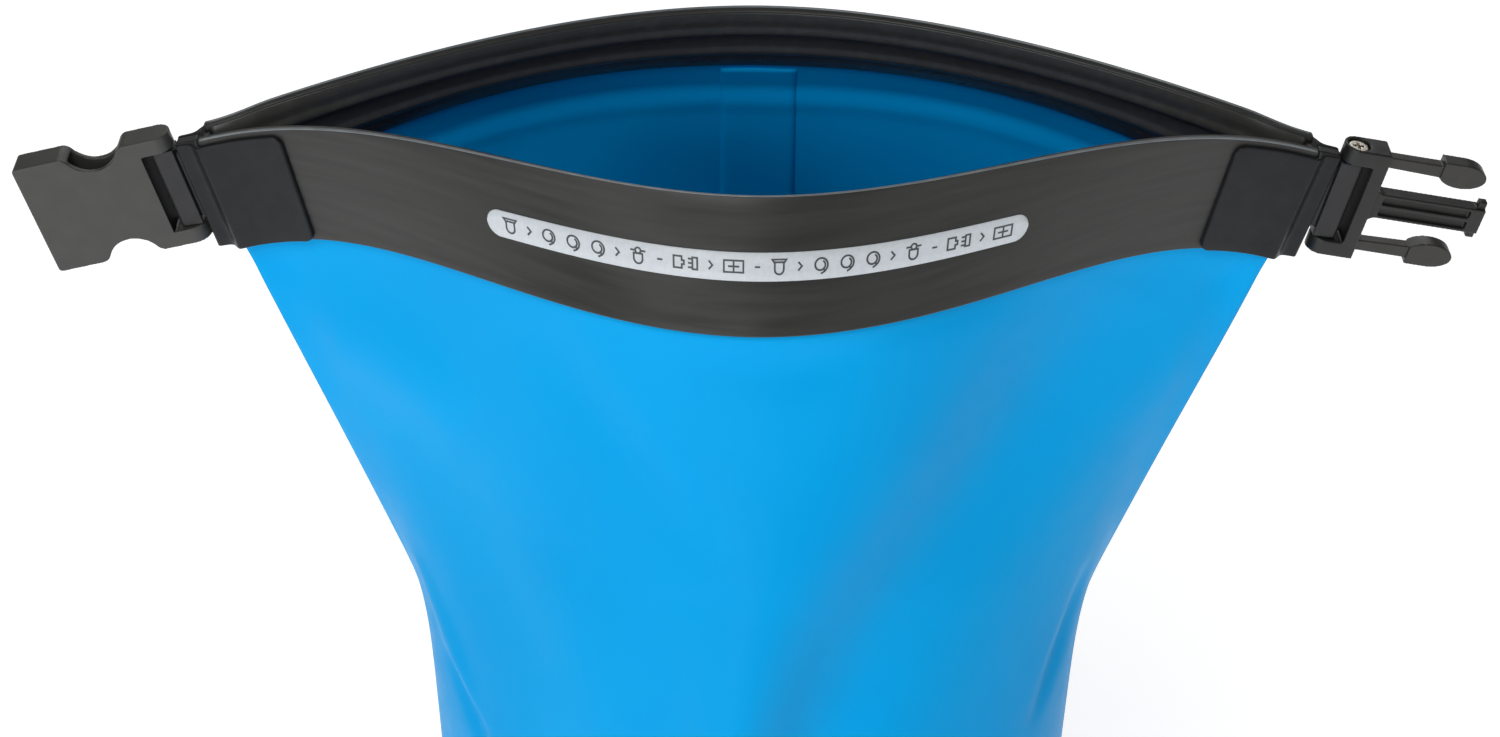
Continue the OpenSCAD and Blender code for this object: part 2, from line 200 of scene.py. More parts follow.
def outward_normals(obj):
    """Turns the faces of a closed mesh outwards."""
    bm = bmesh.new()
    bm.from_mesh(obj.data)
    if bm.calc_volume(signed=True) < 0:
        bmesh.ops.reverse_faces(bm, faces=bm.faces)
    bm.to_mesh(obj.data)
    bm.free()


def evaluated(obj):
    """Bakes an object's modifiers into its mesh."""
    bpy.context.view_layer.update()
    graph = bpy.context.evaluated_depsgraph_get()
    mesh = bpy.data.meshes.new_from_object(obj.evaluated_get(graph))
    obj.modifiers.clear()
    obj.data = mesh
    return obj


def rounded_profile(v0, v1, d0, d1, r, steps=4, across=8):
    """Closed outline of a strip's section with round edges, as [mm down the band, d] points."""
    points = []
    corners = [(v1 - r, d1 - r, 0), (v0 + r, d1 - r, 90), (v0 + r, d0 + r, 180), (v1 - r, d0 + r, 270)]
    for cv, cd, a0 in corners:
        for i in range(steps + 1):
            a = math.radians(a0 + 90 * i / steps)
            points.append((cv + r * math.cos(a), cd + r * math.sin(a)))
    return subdivided(points, across)


def subdivided(points, across):
    """The outline with extra points along its long faces, so that they can follow a curve."""
    long_face = 2.5
    out = []
    for i, p in enumerate(points):
        q = points[(i + 1) % len(points)]
        out.append(p)
        if abs(q[0] - p[0]) > long_face:
            out += [(p[0] + (q[0] - p[0]) * j / across, p[1] + (q[1] - p[1]) * j / across)
                    for j in range(1, across)]
    return np.array(out)


def band_strip(name, face, k0, k1, n, profile, material):
    """Strip of the closure along one band; profile is a closed outline of [mm down the band, d] points."""
    ks = np.linspace(k0, k1, n + 1)
    rings = [layer_point(face, np.full(len(profile), k), profile[:, 0] / BAND_H, profile[:, 1]) for k in ks]
    return skinned(name, rings, material)


def catmull_rom(a, b, c, d, t):
    """Point at t from b to c, on the smooth curve through a, b, c and d."""
    return 0.5 * (2 * b + (c - a) * t + (2 * a - 5 * b + 4 * c - d) * t**2 + (3 * b - 3 * c + d - a) * t**3)


def smooth_path(points, steps):
    """Smooth curve through points, steps of it for each one."""
    p = np.asarray(points, float)
    p = np.concatenate([[2 * p[0] - p[1]], p, [2 * p[-1] - p[-2]]])
    out = []
    for i in range(1, len(p) - 2):
        for t in np.arange(steps) / steps:
            out.append(catmull_rom(*p[i - 1:i + 3], t))
    out.append(p[-2])
    return np.array(out)


# ---- materials ----

def linear(rgb):
    """Scene colour of an sRGB colour given as 0 to 255."""
    return [c / 255 / 12.92 if c / 255 <= 0.04045 else ((c / 255 + 0.055) / 1.055) ** 2.4 for c in rgb]


class Surface:
    """A node material round one Principled BSDF, with colour as 0 to 255 and sizes in mm."""

    def __init__(self, name, color, roughness, **shader):
        self.material = bpy.data.materials.new(name)
        self.material.use_nodes = True
        self.tree = self.material.node_tree
        self.shader = self.tree.nodes["Principled BSDF"]
        self.color = linear(color)
        self.shader.inputs["Base Color"].default_value = (*self.color, 1)
        self.shader.inputs["Roughness"].default_value = roughness
        self.roughness = roughness
        for key, value in shader.items():
            self.shader.inputs[key.replace("_", " ")].default_value = value
        self.material.diffuse_color = (*self.color, 1)
        self.height = None

    def node(self, kind, **inputs):
        n = self.tree.nodes.new(kind)
        for key, value in inputs.items():
            n.inputs[key.replace("_", " ")].default_value = value
        return n

    def link(self, a, b):
        self.tree.links.new(a, b)

    def place(self, stretch):
        """Object coordinates, scaled along each axis."""
        coords = self.node("ShaderNodeTexCoord")
        mapping = self.node("ShaderNodeMapping")
        mapping.inputs["Scale"].default_value = stretch
        self.link(coords.outputs["Object"], mapping.inputs["Vector"])
        return mapping.outputs["Vector"]

    def noise(self, size, detail, stretch=(1, 1, 1)):
        """Noise with blotches of about size mm."""
        n = self.node("ShaderNodeTexNoise", Scale=1 / (size * MM), Detail=detail, Roughness=0.5)
        self.link(self.place(stretch), n.inputs["Vector"])
        return n.outputs["Fac"]

    def ranged(self, value, low, high, start=0.3, end=0.7):
        """Value, as it goes from start to end, made to go from low to high."""
        n = self.node("ShaderNodeMapRange")
        for key, number in (("From Min", start), ("From Max", end), ("To Min", low), ("To Max", high)):
            n.inputs[key].default_value = number
        self.link(value, n.inputs["Value"])
        return n.outputs["Result"]

    def mottle(self, value, other, start=0.3, end=0.7):
        """Mixes the base colour with another by a value."""
        mix = self.tree.nodes.new("ShaderNodeMix")
        mix.data_type = "RGBA"
        factor, first, second, result = mix.inputs[0], mix.inputs[6], mix.inputs[7], mix.outputs[2]
        first.default_value = (*self.color, 1)
        second.default_value = (*linear(other), 1)
        self.link(self.ranged(value, 0, 1, start, end), factor)
        self.link(result, self.shader.inputs["Base Color"])

    def gloss(self, value, spread):
        """Varies the roughness by spread to each side."""
        varied = self.ranged(value, self.roughness - spread, self.roughness + spread)
        self.link(varied, self.shader.inputs["Roughness"])

    def bump(self, value, depth_mm, strength):
        """Adds a height in mm; the bumps chain through each other's normals."""
        n = self.node("ShaderNodeBump", Strength=strength, Distance=depth_mm * MM)
        self.link(value, n.inputs["Height"])
        if self.height is not None:
            self.link(self.height, n.inputs["Normal"])
        self.height = n.outputs["Normal"]
        self.link(self.height, self.shader.inputs["Normal"])


def film_surface():
    s = Surface("coated_film", (0, 156, 225), 0.45, Specular_IOR_Level=0.06)
    s.mottle(s.noise(70, 2), (0, 160, 228), 0.35, 0.65)
    s.gloss(s.noise(9, 3), 0.05)
    s.bump(s.noise(0.35, 2), 0.012, 0.6)
    s.bump(s.noise(16, 1), 0.35, 0.5)
    return s.material


def band_surface():
    s = Surface("band_laminate", (48, 48, 47), 0.37, Specular_IOR_Level=0.27)
    streaks = s.noise(2.2, 3, (0.06, 0.06, 1))
    s.mottle(streaks, (56, 56, 55), 0.35, 0.7)
    s.gloss(streaks, 0.07)
    s.bump(streaks, 0.03, 0.5)
    s.bump(s.noise(0.3, 2), 0.01, 0.5)
    return s.material


def seal_surface():
    s = Surface("seal_rubber", (60, 60, 58), 0.3, Specular_IOR_Level=0.6)
    dust = s.noise(3, 4)
    s.mottle(dust, (69, 69, 67), 0.45, 0.8)
    s.gloss(s.noise(6, 2, (0.1, 0.1, 1)), 0.07)
    s.bump(s.noise(0.4, 2), 0.012, 0.5)
    return s.material


def tab_surface():
    s = Surface("tab_moulded", (24, 25, 27), 0.4, Specular_IOR_Level=0.2)
    s.mottle(s.noise(5, 3), (30, 31, 33))
    s.gloss(s.noise(4, 2), 0.05)
    s.bump(s.noise(0.25, 2), 0.014, 0.6)
    return s.material


def knuckle_surface():
    s = Surface("knuckle_plastic", (30, 30, 32), 0.42, Specular_IOR_Level=0.35)
    s.mottle(s.noise(4, 3), (36, 36, 38))
    s.gloss(s.noise(3, 2), 0.05)
    s.bump(s.noise(0.2, 2), 0.014, 0.6)
    return s.material


def buckle_surface(name, color, fleck):
    s = Surface(name, color, 0.4, Specular_IOR_Level=0.4)
    s.mottle(s.noise(6, 4), fleck)
    s.gloss(s.noise(3, 3), 0.06)
    s.bump(s.noise(0.28, 3), 0.018, 0.7)
    return s.material


def prong_surface():
    s = Surface("prong_acetal", (36, 35, 32), 0.36, Specular_IOR_Level=0.45)
    s.mottle(s.noise(4, 3), (43, 41, 38))
    s.gloss(s.noise(3, 3), 0.06)
    s.bump(s.noise(0.28, 3), 0.014, 0.7)
    return s.material


def screw_surface():
    s = Surface("screw_steel", (196, 190, 180), 0.28, Metallic=1.0)
    s.mottle(s.noise(0.5, 3), (170, 163, 150))
    s.gloss(s.noise(0.4, 2), 0.08)
    s.bump(s.noise(0.15, 2), 0.006, 0.5)
    return s.material


# Light grey for the bands' top bead: a painted highlight along their top edge.
def rim_painted_highlight_surface():
    s = Surface("band_rim_painted_highlight", (96, 102, 105), 0.35, Specular_IOR_Level=0.5)
    s.mottle(s.noise(5, 3), (112, 118, 121))
    s.gloss(s.noise(3, 2), 0.06)
    s.bump(s.noise(0.3, 2), 0.008, 0.5)
    return s.material


# Near-black dull surface for the slot walls behind the knuckles: painted shade standing in for the shadow deep
# in the narrow slot.
def painted_slot_shade_surface():
    s = Surface("buckle_slot_painted_shade", (9, 9, 9), 0.75, Specular_IOR_Level=0.1)
    s.mottle(s.noise(0.8, 3), (14, 14, 14))
    s.bump(s.noise(0.4, 2), 0.03, 0.7)
    return s.material


def label_surface():
    s = Surface("label_vinyl", (203, 209, 214), 0.4, Specular_IOR_Level=0.45)
    s.mottle(s.noise(1.2, 4), (195, 201, 207))
    s.gloss(s.noise(2, 2), 0.06)
    s.bump(s.noise(0.2, 2), 0.008, 0.5)
    return s.material


def ink_surface():
    s = Surface("label_ink", (62, 66, 70), 0.5)
    s.mottle(s.noise(0.6, 3), (74, 78, 82))
    s.bump(s.noise(0.15, 2), 0.006, 0.5)
    return s.material


MATERIALS = {
    "film": film_surface(), "band": band_surface(), "seal": seal_surface(), "tab": tab_surface(),
    "knuckle": knuckle_surface(), "buckle": buckle_surface("buckle_acetal", (56, 56, 54), (63, 63, 60)),
    "plug": buckle_surface("plug_acetal", (22, 22, 21), (29, 29, 27)), "prong": prong_surface(),
    "screw": screw_surface(), "label": label_surface(), "ink": ink_surface(),
    # gap: painted shade for the buckle slots' walls
    # rim: a painted highlight along the bands' top bead
    "rim": rim_painted_highlight_surface(), "gap": painted_slot_shade_surface(),
}


# ---- bag film: one welded tube, from the base up between the bands ----

# Columns run round the tube: the front face from left to right, the right side crease,
# the rear face from right to left, the left side crease.
ACROSS = 60                 # columns along each face
TURN = 2                    # columns round each side crease
ROUND = 2 * (ACROSS + TURN)
FINE = 3                    # finer columns and rows for each one that the cloth has
FILM_TOP = 2.2              # how far below the bands' top edge the sheet ends, under their lip
FOOT = 1.2                  # height of the wall's foot


class Ring:
    """Where a ring's points lie round the tube."""

    def __init__(self, step):
        u = np.arange(round(ROUND / step)) * step
        self.u = u
        self.front = u <= ACROSS
        self.right = (u > ACROSS) & (u < ACROSS + TURN)
        self.rear = (u >= ACROSS + TURN) & (u <= 2 * ACROSS + TURN)
        self.left = u > 2 * ACROSS + TURN
        self.k = np.select([self.front, self.right, self.rear],
                           [2 * u / ACROSS - 1, 1 + 0 * u, 1 - 2 * (u - ACROSS - TURN) / ACROSS], -1.0)
        self.crease = np.select([self.right, self.left],
                                [(u - ACROSS) / TURN, (u - 2 * ACROSS - TURN) / TURN], 0.0)
        # 1 at the face's middle and 0 at its sides, rounded so that the two sides meet without a kink
        rounding = 0.2
        self.middle = 1 - (np.hypot(self.k, rounding) - rounding) / (math.hypot(1, rounding) - rounding)
        turn = 90 - END_TURN
        self.angle = np.radians(np.select(
            [self.front, self.right, self.rear],
            [self.k * turn, turn + 2 * END_TURN * self.crease, 180 - self.k * turn],
            180 + turn + 2 * END_TURN * self.crease))

    def collar(self, v):
        """Outer face of the sheet at v down the bands."""
        out = np.zeros((len(self.u), 3))
        for face, mask in ((FRONT, self.front), (REAR, self.rear)):
            n = mask.sum()
            out[mask] = layer_point(face, self.k[mask], np.full(n, v), np.full(n, SHEET_T))
        e = layer_point(FRONT, 1.0, v, 0)
        for side, mask in ((RIGHT, self.right), (LEFT, self.left)):
            a = np.radians(180 * self.crease[mask] - 90)
            out[mask] = np.stack([side * (e[0] + SHEET_T * np.cos(a)),
                                  side * (HALF_GAP + SHEET_T) * np.sin(a),
                                  np.full(mask.sum(), e[2])], -1)
        return out

    def body(self, z):
        """Outer face of the round body at height z."""
        x, y = BAG_R * np.sin(self.angle), -BAG_R * np.cos(self.angle)
        return np.stack([x, y, np.full(len(self.u), float(z))], -1)

    def shoulder(self, q):
        """Between the round body at q 0 and the bands at q 1. The body's curve carries on above q 0
        beside each side crease, and the flanks between it and the bands are almost flat."""
        low, high = self.body(BAG_H - SHOULDER_H), self.collar(1.0)
        m = self.middle
        start = FLANK_START * (1 - np.exp(-m / 0.07))

        def reach(t):
            return (t - start + np.hypot(t - start, 0.05)) / 2

        across = (reach(q) - reach(0)) / (reach(1) - reach(0))
        inward = np.power(q, 1 - CREASE * 4 * m * (1 - m)) + (ease(q) - q) * 0.7 * m
        x = low[:, 0] + (high[:, 0] - low[:, 0]) * across
        y = low[:, 1] + (high[:, 1] - low[:, 1]) * inward
        return np.stack([x, y, low[:, 2] + (high[:, 2] - low[:, 2]) * q], -1)


BODY_ROWS, SHOULDER_ROWS, COLLAR_ROWS = 56, 30, 6


def film_row(ring, row):
    """Row 0 is the wall's foot; rows count up over the body, the shoulder and the collar."""
    if row <= BODY_ROWS:
        return ring.body(FOOT + (BAG_H - SHOULDER_H - FOOT) * row / BODY_ROWS)
    if row <= BODY_ROWS + SHOULDER_ROWS:
        return ring.shoulder((row - BODY_ROWS) / SHOULDER_ROWS)
    v = 1 - (row - BODY_ROWS - SHOULDER_ROWS) / COLLAR_ROWS
    return ring.collar(v + (1 - v) * FILM_TOP / BAND_H)


ROWS = BODY_ROWS + SHOULDER_ROWS + COLLAR_ROWS + 1
PINNED_LOW = 3               # last row held by the base's flange
PINNED_HIGH = BODY_ROWS + SHOULDER_ROWS     # first row held by the bands
CLOTH = {
    "quality": 6, "mass": 0.02, "tension_stiffness": 40, "compression_stiffness": 40, "shear_stiffness": 20,
    "bending_stiffness": 8, "tension_damping": 10, "compression_damping": 10, "shear_damping": 10,
    "bending_damping": 1, "air_damping": 2, "vertex_group_mass": "held", "pin_stiffness": 1,
    "use_pressure": True, "uniform_pressure_force": 0.3,
}
GRAVITY_SHARE = 0.3
SIM_FRAMES = 45


def cut_length():
    """Height of each row on the flat tube, from the welded sheet's length up the middle of its faces."""
    ring = Ring(1)
    rows = np.array([film_row(ring, j) for j in range(ROWS)])
    steps = np.linalg.norm(np.diff(rows, axis=0), axis=-1)
    middles = (steps[:, ACROSS // 2] + steps[:, ACROSS + TURN + ACROSS // 2]) / 2
    return FOOT + np.concatenate([[0], np.cumsum(middles)])


def settled(rows):
    """The sheet as cloth, cut as a straight tube and welded to the base and the bands, after it settles."""
    faces = grid_faces(ROWS, ROUND, closed=True)
    sheet = mesh_object("cloth_sheet", rows.reshape(-1, 3), faces, MATERIALS["film"])
    ring = Ring(1)
    cut = np.concatenate([ring.body(z) for z in cut_length()])
    sheet.shape_key_add(name="Basis")
    key = sheet.shape_key_add(name="cut")
    key.data.foreach_set("co", (cut * MM).ravel())
    held = sheet.vertex_groups.new(name="held")
    for j in range(ROWS):
        if j <= PINNED_LOW or j >= PINNED_HIGH:
            held.add(list(range(j * ROUND, (j + 1) * ROUND)), 1.0, "REPLACE")
    cloth = sheet.modifiers.new("cloth", "CLOTH")
    for setting, value in CLOTH.items():
        setattr(cloth.settings, setting, value)
    cloth.settings.rest_shape_key = sheet.data.shape_keys.key_blocks["cut"]
    cloth.settings.effector_weights.gravity = GRAVITY_SHARE
    cloth.collision_settings.use_collision = False
    cloth.point_cache.frame_end = SIM_FRAMES
    scene = bpy.context.scene
    for n in range(1, SIM_FRAMES + 1):
        scene.frame_set(n)
    graph = bpy.context.evaluated_depsgraph_get()
    mesh = sheet.evaluated_get(graph).to_mesh()
    co = np.zeros(len(mesh.vertices) * 3)
    mesh.vertices.foreach_get("co", co)
    sheet.evaluated_get(graph).to_mesh_clear()
    bpy.data.objects.remove(sheet)
    scene.frame_set(1)
    return co.reshape(rows.shape) / MM


def cubic(values, n, closed):
    """Smooth interpolation along axis 0, n points for each one; closed joins the end to the start."""
    if closed:
        p = np.concatenate([values[-1:], values, values[:2]])
    else:
        p = np.concatenate([2 * values[:1] - values[1:2], values, 2 * values[-1:] - values[-2:-1]])
    a, b, c, d = (p[i:len(p) - 3 + i] for i in range(4))
    fine = [catmull_rom(a, b, c, d, t) for t in np.arange(n) / n]
    out = np.stack(fine, 1).reshape(-1, *values.shape[1:])
    return out if closed else np.concatenate([out, values[-1:]])


def weld_line():
    """Slight step of the sheet just below the rear band's low edge."""
    drop, height, half_width = 4.5, 0.5, 2.2
    return [(*low_point(REAR, k)[[0, 2]] - (0, drop), -height * ease(min((1 - abs(k)) / 0.3, 1)), half_width)
            for k in np.linspace(-0.95, 0.95, 24)]


# Soft folds of the sheet: along each path, [x, z, height, half width] in mm. The front face's folds run
# from the closure's ends and low edge down to a prow above the round body.
FOLD_RELIEF = 1.75           # scale of all the heights
FRONT_FOLDS = (
    [(-4, 290, 0, 10), (-6, 345, 4, 9), (-5, 372, 5, 9), (4, 411, 3.6, 13), (30, 440, 2.6, 17),
     (50, 464, 1.6, 17), (70, 486, 0, 14)],
    [(14, 300, 0, 13), (20, 355, -3.4, 12), (44, 401, -3.8, 16), (66, 424, -3.8, 17), (84, 448, -2.8, 16),
     (100, 470, -0.6, 13)],
    [(40, 372, 0, 12), (62, 398, 1, 14), (92, 418, 1.5, 15), (124, 440, 1.4, 12), (140, 456, 0, 8)],
    [(-64, 478, 0, 7), (-46, 461, -1, 8), (-26, 440, -1.1, 8), (-17, 416, 0, 9)],
    [(-50, 476, 0, 8), (-30, 458, 0.9, 9), (-14, 436, 0.9, 9), (-8, 412, 0, 9)],
    [(-138, 452, 0, 8), (-120, 446, 1.6, 11), (-98, 440, 1.9, 12), (-80, 436, 0, 9)],
    [(-112, 424, 0, 10), (-92, 408, -1.2, 13), (-72, 384, -1.1, 14), (-52, 360, 0, 12)],
    [(-56, 410, 0, 12), (-50, 388, 1, 14), (-36, 360, 1, 13), (-26, 330, 0, 10)],
    [(-24, 484, 0, 5), (-6, 481, -0.9, 6), (14, 481, -0.9, 6), (34, 485, 0, 5)],
    [(-147, 468, -0.6, 4), (-138, 465, -1.5, 4), (-126, 463, 0, 4)],
    [(146, 468, -0.6, 4), (137, 464, -1.5, 4), (125, 461, 0, 4)],
    [(-101, 366, 0.5, 2), (-92, 352, 0.9, 2.4), (-86, 340, 0.6, 2), (-84, 334, 0, 2)],
    [(-93, 346, 0, 1.6), (-88, 338, -1, 1.9), (-80, 326, -0.7, 2), (-74, 318, 0, 2)],
    [(102, 372, 0, 2), (98, 358, -1, 2), (91, 342, -1.1, 2.2), (84, 330, 0, 2)],
    [(-70, 300, 0, 12), (-52, 262, -1, 15), (-44, 214, -1.1, 16), (-50, 160, 0, 13)],
    [(64, 286, 0, 12), (58, 240, 0.9, 14), (40, 190, 0.9, 15), (30, 140, 0, 12)],
    [(10, 230, 0, 12), (-4, 180, -0.9, 15), (-8, 120, -0.8, 15), (4, 70, 0, 12)],
    [(-60, 96, 0, 8), (-40, 74, -0.7, 9), (-14, 60, -0.6, 9), (6, 56, 0, 8)],
    [(70, 88, 0, 8), (56, 64, -0.8, 9), (48, 36, -0.4, 8), (46, 22, 0, 8)],
)
REAR_FOLDS = (
    [(60, 300, 0, 10), (44, 356, 2.4, 12), (18, 404, 2, 15), (-10, 440, 1.5, 17), (-40, 470, 0, 14)],
    [(30, 310, 0, 12), (12, 360, -2, 14), (-22, 398, -2.4, 16), (-58, 434, -1.8, 16), (-84, 462, 0, 12)],
    [(138, 454, 0, 8), (112, 440, 1.6, 12), (84, 424, 1.4, 13), (60, 400, 0, 11)],
    [(-136, 452, 0, 8), (-108, 434, 1.3, 12), (-84, 414, 1.2, 13), (-62, 388, 0, 11)],
    [(-146, 467, -0.6, 4), (-136, 464, -1.3, 4), (-124, 462, 0, 4)],
    [(146, 467, -0.6, 4), (136, 464, -1.3, 4), (124, 462, 0, 4)],
    [(98, 364, 0, 2), (92, 348, -0.9, 2.2), (84, 332, 0, 2)],
    [(-99, 362, 0, 2), (-94, 346, -0.9, 2.2), (-87, 332, 0, 2)],
    [(66, 292, 0, 12), (54, 250, -1, 15), (48, 200, -1, 15), (56, 150, 0, 13)],
    [(-58, 276, 0, 12), (-48, 226, 0.9, 14), (-34, 176, 0.8, 14), (-30, 130, 0, 12)],
    [(-66, 100, 0, 8), (-48, 72, -0.8, 9), (-40, 40, -0.5, 8), (-40, 24, 0, 8)],
    [(30, 110, 0, 9), (44, 80, -0.7, 10), (70, 60, 0, 8)],
    weld_line(),
)


def fold_height(x, z, path):
    """Height of one fold at each point, from the nearest place on its path."""
    near, best = np.full(x.shape, np.inf), np.zeros(x.shape)
    for a, b in zip(path[:-1], path[1:]):
        run = b[:2] - a[:2]
        t = np.clip(((x - a[0]) * run[0] + (z - a[1]) * run[1]) / (run @ run), 0, 1)
        away = np.hypot(x - a[0] - t * run[0], z - a[1] - t * run[1])
        height, width = a[2] + (b[2] - a[2]) * t, a[3] + (b[3] - a[3]) * t
        closer = away < near
        near = np.where(closer, away, near)
        best = np.where(closer, height * np.exp(-(away / width) ** 2 / 2), best)
    return best


def folded(grid):
    """The sheet with its folds; they fade towards the side creases and where it is welded."""
    fade_high, fade_low, fade_side = 1.6, 4, 9       # rows, rows and mm
    rows = np.arange(len(grid))[:, None] / FINE
    free = (ease(np.clip((PINNED_HIGH - rows) / fade_high, 0, 1))
            * ease(np.clip((rows - PINNED_LOW) / fade_low, 0, 1)))
    x, y, z = grid[..., 0], grid[..., 1], grid[..., 2]
    height = np.zeros(x.shape)
    for face, folds in ((FRONT, FRONT_FOLDS), (REAR, REAR_FOLDS)):
        side = ease(np.clip((face * y - 1) / fade_side, 0, 1))
        for path in folds:
            height += side * FOLD_RELIEF * fold_height(x, z, smooth_path(path, 4))
    return grid + grid_normals(grid) * (height * free)[..., None]


def evened(moved, rounds=6):
    """The cloth's movement without the small ripples of its grid; the welded rows stay put."""
    for _ in range(rounds):
        around = (np.roll(moved, 1, 1) + np.roll(moved, -1, 1)) / 2
        along = moved.copy()
        along[1:-1] = (moved[:-2] + moved[2:]) / 2
        moved = (2 * moved + around + along) / 4
        moved[:PINNED_LOW + 1] = 0
        moved[PINNED_HIGH:] = 0
    return moved


def relaxed(grid, rounds=140, reach=14):
    """Softens the bend where the shoulder starts, over reach rows to each side."""
    rows = np.arange(len(grid)) / FINE - BODY_ROWS
    share = 0.5 * ease(np.clip(1 - np.abs(rows) / reach, 0, 1))[:, None, None]
    for _ in range(rounds):
        around = grid.copy()
        around[1:-1] = (grid[:-2] + grid[2:]) / 2
        grid = grid + (around - grid) * share
    return grid


def film_rings():
    """Outer face of the finished film, as a fine grid of rings."""
    rows = np.array([film_row(Ring(1), j) for j in range(ROWS)])
    fine = Ring(1 / FINE)
    smooth = np.array([film_row(fine, j / FINE) for j in range((ROWS - 1) * FINE + 1)])
    moved = evened(settled(rows) - rows)
    moved = cubic(cubic(moved, FINE, False).swapaxes(0, 1), FINE, True).swapaxes(0, 1)
    return folded(relaxed(smooth + moved))


def grid_normals(grid):
    """Outward unit normals of a grid of rings."""
    up = np.gradient(grid, axis=0)
    padded = np.concatenate([grid[:, -1:], grid, grid[:, :1]], 1)
    return unit(np.cross((padded[:, 2:] - padded[:, :-2]) / 2, up))


def build_film(outer):
    """The film as a closed sheet; also gives its inner face and its normals."""
    normals = grid_normals(outer)
    inner = outer - normals * SHEET_T
    n, m = outer.shape[:2]
    skin, last = n * m, (n - 1) * m
    faces = grid_faces(n, m, 0, True) + grid_faces(n, m, skin, True, flip=True)
    for i in range(m):
        b = (i + 1) % m
        faces.append([i, skin + i, skin + b, b])
        faces.append([last + i, last + b, skin + last + b, skin + last + i])
    points = np.concatenate([outer.reshape(-1, 3), inner.reshape(-1, 3)])
    film = mesh_object("bag_film", points, faces, MATERIALS["film"])
    outward_normals(film)
    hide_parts("bag_wall", "fold_sheet", "collar_sheet")
    return film, inner, normals


film, film_inner, film_normals = build_film(film_rings())


def build_seam_tape():
    """Lap tape up the middle of the back, inside the film, from the base to the seal strip."""
    half = 7                 # fine columns each side of the middle
    tape_t, sunk = 0.6, 0.2
    middle = (ACROSS + TURN + ACROSS // 2) * FINE
    cols = np.arange(middle - half, middle + half + 1)
    start, end = 1.5, layer_point(REAR, 0.0, (SEAL_H + 1) / BAND_H, 0)[2]
    rows = [j for j in range(len(film_inner)) if start < film_inner[j, middle, 2] < end]
    near = film_inner[rows][:, cols] + film_normals[rows][:, cols] * sunk
    far = film_inner[rows][:, cols] - film_normals[rows][:, cols] * tape_t
    rings = []
    for a, b in zip(near, far):
        # the tape's two long edges are thinned
        b = b.copy()
        b[0], b[-1] = a[0] + (b[0] - a[0]) * 0.5, a[-1] + (b[-1] - a[-1]) * 0.5
        rings.append(np.concatenate([a, b[::-1]]))
    tape = skinned("seam_tape", rings, MATERIALS["film"])
    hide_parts("back_seam_tape")
    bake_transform(tape)
    return tape


tape = build_seam_tape()
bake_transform(film)


# ---- base ----

def lathe(name, profile, material):
    """Closed outline of [radius, z] points turned about Z."""
    n = 192
    profile = np.asarray(profile, float)
    m = len(profile)
    a = np.linspace(0, 2 * np.pi, n, endpoint=False)
    rings = np.stack([profile[None, :, 0] * np.cos(a)[:, None], profile[None, :, 0] * np.sin(a)[:, None],
                      np.repeat(profile[None, :, 1], n, 0)], -1)
    faces = grid_faces(n, m, closed=True)
    for i in range(m):
        j = (i + 1) % m
        faces.append([(n - 1) * m + i, (n - 1) * m + j, j, i])
    obj = mesh_object(name, rings.reshape(-1, 3), faces, material)
    outward_normals(obj)
    return obj


def build_base():
    """Round panel with its flange turned up over the wall's foot and welded on."""
    gap, bend = 0.05, 1.2
    r = BAG_R + gap + SHEET_T
    outer, inner = [], []
    for i in range(7):
        a = math.radians(270 + 90 * i / 6)
        outer.append((r - bend + bend * math.cos(a), bend + bend * math.sin(a)))
        inner.append((r - bend + (bend - SHEET_T) * math.cos(a), bend + (bend - SHEET_T) * math.sin(a)))
    # a raised weld line runs round near the foot and the top of the flange
    side = [(r, 3.2), (r + 0.25, 3.8), (r + 0.25, 5), (r, 5.6), (r, FLANGE_H - 3.6), (r + 0.25, FLANGE_H - 3),
            (r + 0.25, FLANGE_H - 1.8), (r, FLANGE_H - 1.2), (r, FLANGE_H - 0.2), (r - 0.2, FLANGE_H)]
    flat_out = [(0.01, 0), (30, 0), (70, 0), (96, 0), (98.2, 0.12), (99.4, 0.12), (100.6, 0)]
    flat_in = [(98, SHEET_T), (60, SHEET_T), (20, SHEET_T), (0.01, SHEET_T)]
    profile = flat_out + outer + side + [(r - SHEET_T, FLANGE_H)] + inner[::-1] + flat_in
    base = lathe("base_disc", profile, MATERIALS["film"])
    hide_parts("base_panel")
    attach(base, "bag")


build_base()


# ---- closure ----

def band_profile():
    """Section of a band, with a lip over the sheet's top edge and a slim bead along the bottom."""
    lip, step, r, bead, bead_h = 1.9, 0.2, 0.5, 0.25, 2.4
    # [mm down the band, d, first angle, radius]
    corners = [(BAND_H - r, BAND_OUT + bead - r, 0, r), (BAND_H - bead_h, BAND_OUT, 90, 0),
               (r, BAND_OUT - r, 90, r), (r, r, 180, r), (lip - step, step, 270, step),
               (lip + step, BAND_IN - step, 270, 0), (BAND_H - r, BAND_IN + r, 270, r)]
    points = []
    for cv, cd, a0, cr in corners:
        for i in range(5 if cr else 1):
            a = math.radians(a0 + 90 * i / 4)
            points.append((cv + cr * math.cos(a), cd + cr * math.sin(a)))
    return subdivided(points, 12)


def build_band(name, face):
    band = band_strip(name + "_strip", face, -1, 1, 240, band_profile(), MATERIALS["band"])
    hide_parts(name)
    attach(band, "closure")


